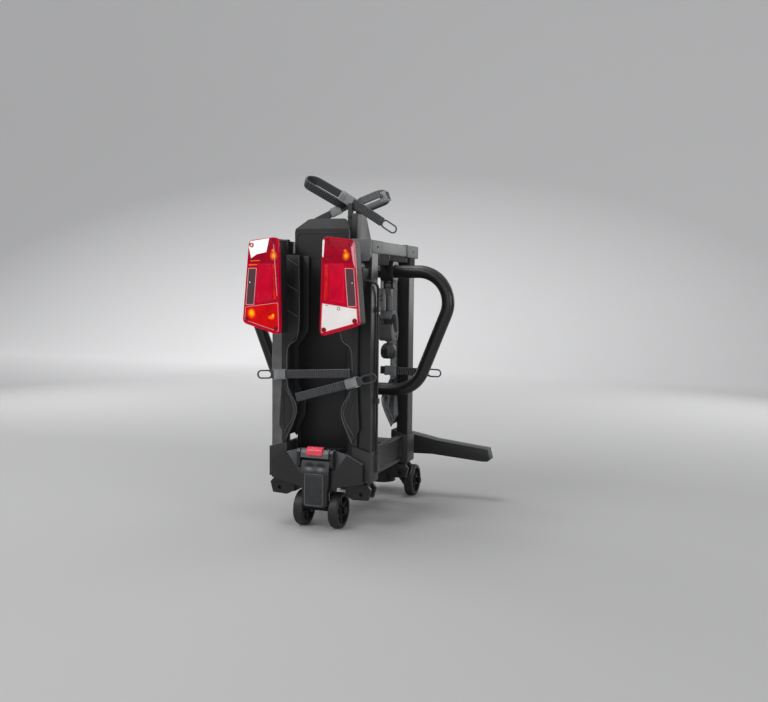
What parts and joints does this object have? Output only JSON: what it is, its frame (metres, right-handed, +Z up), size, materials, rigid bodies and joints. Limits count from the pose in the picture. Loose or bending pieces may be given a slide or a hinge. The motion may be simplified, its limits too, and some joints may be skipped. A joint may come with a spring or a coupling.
{
  "type": "folding bike carrier for a tow ball",
  "caption": "Folding bicycle carrier for a tow ball, folded upright on its wheels, with a hoop for the frame clamps, wheel trays with straps, lamps and a number-plate board.",
  "frame": {"origin": "centre of the tow ball in the coupling's socket", "axes": "+Z up, +Y from the lamps towards the towing vehicle, +X to the right seen from behind"},
  "size_m": [0.5982, 0.6, 0.8524],
  "materials": {
    "frame_steel": "satin",
    "tray_metal": "black powder coat",
    "bar_metal": "dark grey powder coat",
    "cast_metal": "black powder coat",
    "pin_steel": "brushed",
    "coupling_metal": "satin",
    "moulding": "fine texture",
    "board": "semi-gloss",
    "band": "ribbed",
    "buckle": "satin",
    "lens": "gloss",
    "lamp_body": "satin",
    "button": "gloss",
    "wheel": "matt",
    "pad": "matt",
    "cable": "matt"
  },
  "bodies": {
    "spine": {"main_beam": "frame_steel", "front_cross_member": "frame_steel", "rear_cross_member": "frame_steel", "hinge_pins": "pin_steel", "pivot_pins": "pin_steel", "wheel_axles": "pin_steel", "bike_hoop": "frame_steel", "mast": "frame_steel", "plate_board": "board", "rear_cover": "moulding", "latch_lid": "moulding", "trailer_cable": "cable", "trailer_plug": "moulding", "junction_box": "moulding"},
    "left_wing": {"left_front_tray": "tray_metal", "left_rear_tray": "tray_metal", "left_front_cup": "moulding", "left_rear_cup": "moulding", "left_front_strap": "band", "left_rear_strap": "band", "left_crossbar": "bar_metal", "left_cross_plate": "tray_metal", "left_hinge_feet": "cast_metal", "left_lamp_lens": "lens", "left_lamp_housing": "lamp_body", "left_lamp_bracket": "tray_metal", "left_lamp_lead": "cable"},
    "right_wing": {"right_front_tray": "tray_metal", "right_rear_tray": "tray_metal", "right_front_cup": "moulding", "right_rear_cup": "moulding", "right_front_strap": "band", "right_rear_strap": "band", "right_crossbar": "bar_metal", "right_cross_plate": "tray_metal", "right_hinge_feet": "cast_metal", "right_lamp_lens": "lens", "right_lamp_housing": "lamp_body", "right_lamp_bracket": "tray_metal", "right_lamp_lead": "cable"},
    "pedal": {"foot_pedal": "moulding", "pedal_pad": "pad"},
    "button": {"release_button": "button"},
    "coupling": {"coupling_head": "coupling_metal"},
    "lever": {"coupling_lever": "moulding"},
    "low_block": {"low_clamp_block": "frame_steel"},
    "low_arm": {"low_clamp_arm": "cast_metal"},
    "low_knob": {"low_clamp_knob": "moulding"},
    "top_block": {"top_clamp_block": "frame_steel"},
    "top_arm": {"top_clamp_arm": "moulding", "top_straps": "band"},
    "left_front_lever": {"left_front_buckle_lever": "buckle"},
    "right_front_lever": {"right_front_buckle_lever": "buckle"},
    "left_rear_lever": {"left_rear_buckle_lever": "buckle"},
    "right_rear_lever": {"right_rear_buckle_lever": "buckle"},
    "front_left_wheel_body": {"front_left_wheel": "wheel"},
    "front_right_wheel_body": {"front_right_wheel": "wheel"},
    "rear_left_wheel_body": {"rear_left_wheel": "wheel"},
    "rear_right_wheel_body": {"rear_right_wheel": "wheel"}
  },
  "joints": [
    {"name": "right_wing_fold", "type": "hinge", "parent": "spine", "child": "right_wing", "pos_m": [0.1054, -0.284, 0.04], "axis": [0, 1, 0], "range_deg": [0, 90]},
    {"name": "left_wing_fold", "type": "hinge", "parent": "spine", "child": "left_wing", "pos_m": [-0.1054, -0.284, 0.04], "axis": [0, -1, 0], "range_deg": [0, 90]},
    {"name": "left_front_buckle_turn", "type": "hinge", "parent": "left_wing", "child": "left_front_lever", "pos_m": [-0.10898, -0.465, 0.31442], "axis": [0.0523, 0, -0.9986], "range_deg": [0, 60], "stiffness_Nm_per_rad": 0.05, "springref_deg": -5.73},
    {"name": "right_front_buckle_turn", "type": "hinge", "parent": "right_wing", "child": "right_front_lever", "pos_m": [0.10057, -0.471, 0.30703], "axis": [-0.2756, 0, 0.9613], "range_deg": [0, 60], "stiffness_Nm_per_rad": 0.05, "springref_deg": -5.73},
    {"name": "left_rear_buckle_turn", "type": "hinge", "parent": "left_wing", "child": "left_rear_lever", "pos_m": [-0.073, -0.188, 0.31019], "axis": [-0.0175, 0, 0.9998], "range_deg": [0, 60], "stiffness_Nm_per_rad": 0.05, "springref_deg": -5.73},
    {"name": "right_rear_buckle_turn", "type": "hinge", "parent": "right_wing", "child": "right_rear_lever", "pos_m": [0.073, -0.188, 0.31019], "axis": [-0.0175, 0, -0.9998], "range_deg": [0, 60], "stiffness_Nm_per_rad": 0.05, "springref_deg": -5.73},
    {"name": "front_left_wheel_spin", "type": "hinge", "parent": "spine", "child": "front_left_wheel_body", "pos_m": [-0.0446, -0.432, -0.0045], "axis": [1, 0, 0], "continuous": true},
    {"name": "front_right_wheel_spin", "type": "hinge", "parent": "spine", "child": "front_right_wheel_body", "pos_m": [0.0446, -0.432, -0.0045], "axis": [1, 0, 0], "continuous": true},
    {"name": "rear_left_wheel_spin", "type": "hinge", "parent": "spine", "child": "rear_left_wheel_body", "pos_m": [-0.101, -0.039, -0.0045], "axis": [1, 0, 0], "continuous": true},
    {"name": "rear_right_wheel_spin", "type": "hinge", "parent": "spine", "child": "rear_right_wheel_body", "pos_m": [0.101, -0.039, -0.0045], "axis": [1, 0, 0], "continuous": true},
    {"name": "pedal_swing", "type": "hinge", "parent": "spine", "child": "pedal", "pos_m": [0, -0.466, 0.111], "axis": [-1, 0, 0], "range_deg": [0, 75]},
    {"name": "button_push", "type": "slide", "parent": "spine", "child": "button", "axis": [0, 1, 0], "range_m": [0, 0.004], "stiffness_N_per_m": 500, "springref_m": -0.002},
    {"name": "coupling_tilt", "type": "hinge", "parent": "spine", "child": "coupling", "pos_m": [0, -0.059, 0.063], "axis": [-1, 0, 0], "range_deg": [0, 35]},
    {"name": "lever_lift", "type": "hinge", "parent": "coupling", "child": "lever", "pos_m": [0.058, -0.014, 0.096], "axis": [0, -1, 0], "range_deg": [0, 80]},
    {"name": "low_block_slide", "type": "slide", "parent": "spine", "child": "low_block", "axis": [1, 0, 0], "range_m": [0, 0.05]},
    {"name": "low_arm_swing", "type": "hinge", "parent": "low_block", "child": "low_arm", "pos_m": [0.1135, -0.284, 0.53], "axis": [1, 0, 0], "range_deg": [-20, 20]},
    {"name": "low_knob_turn", "type": "hinge", "parent": "low_arm", "child": "low_knob", "pos_m": [0.1135, -0.284, 0.367], "axis": [0, 0, 1], "continuous": true},
    {"name": "top_block_slide", "type": "slide", "parent": "spine", "child": "top_block", "axis": [1, 0, 0], "range_m": [0, 0.025]},
    {"name": "top_arm_swing", "type": "hinge", "parent": "top_block", "child": "top_arm", "pos_m": [0.046, -0.284, 0.598], "axis": [1, 0, 0], "range_deg": [-30, 12]}
  ]
}
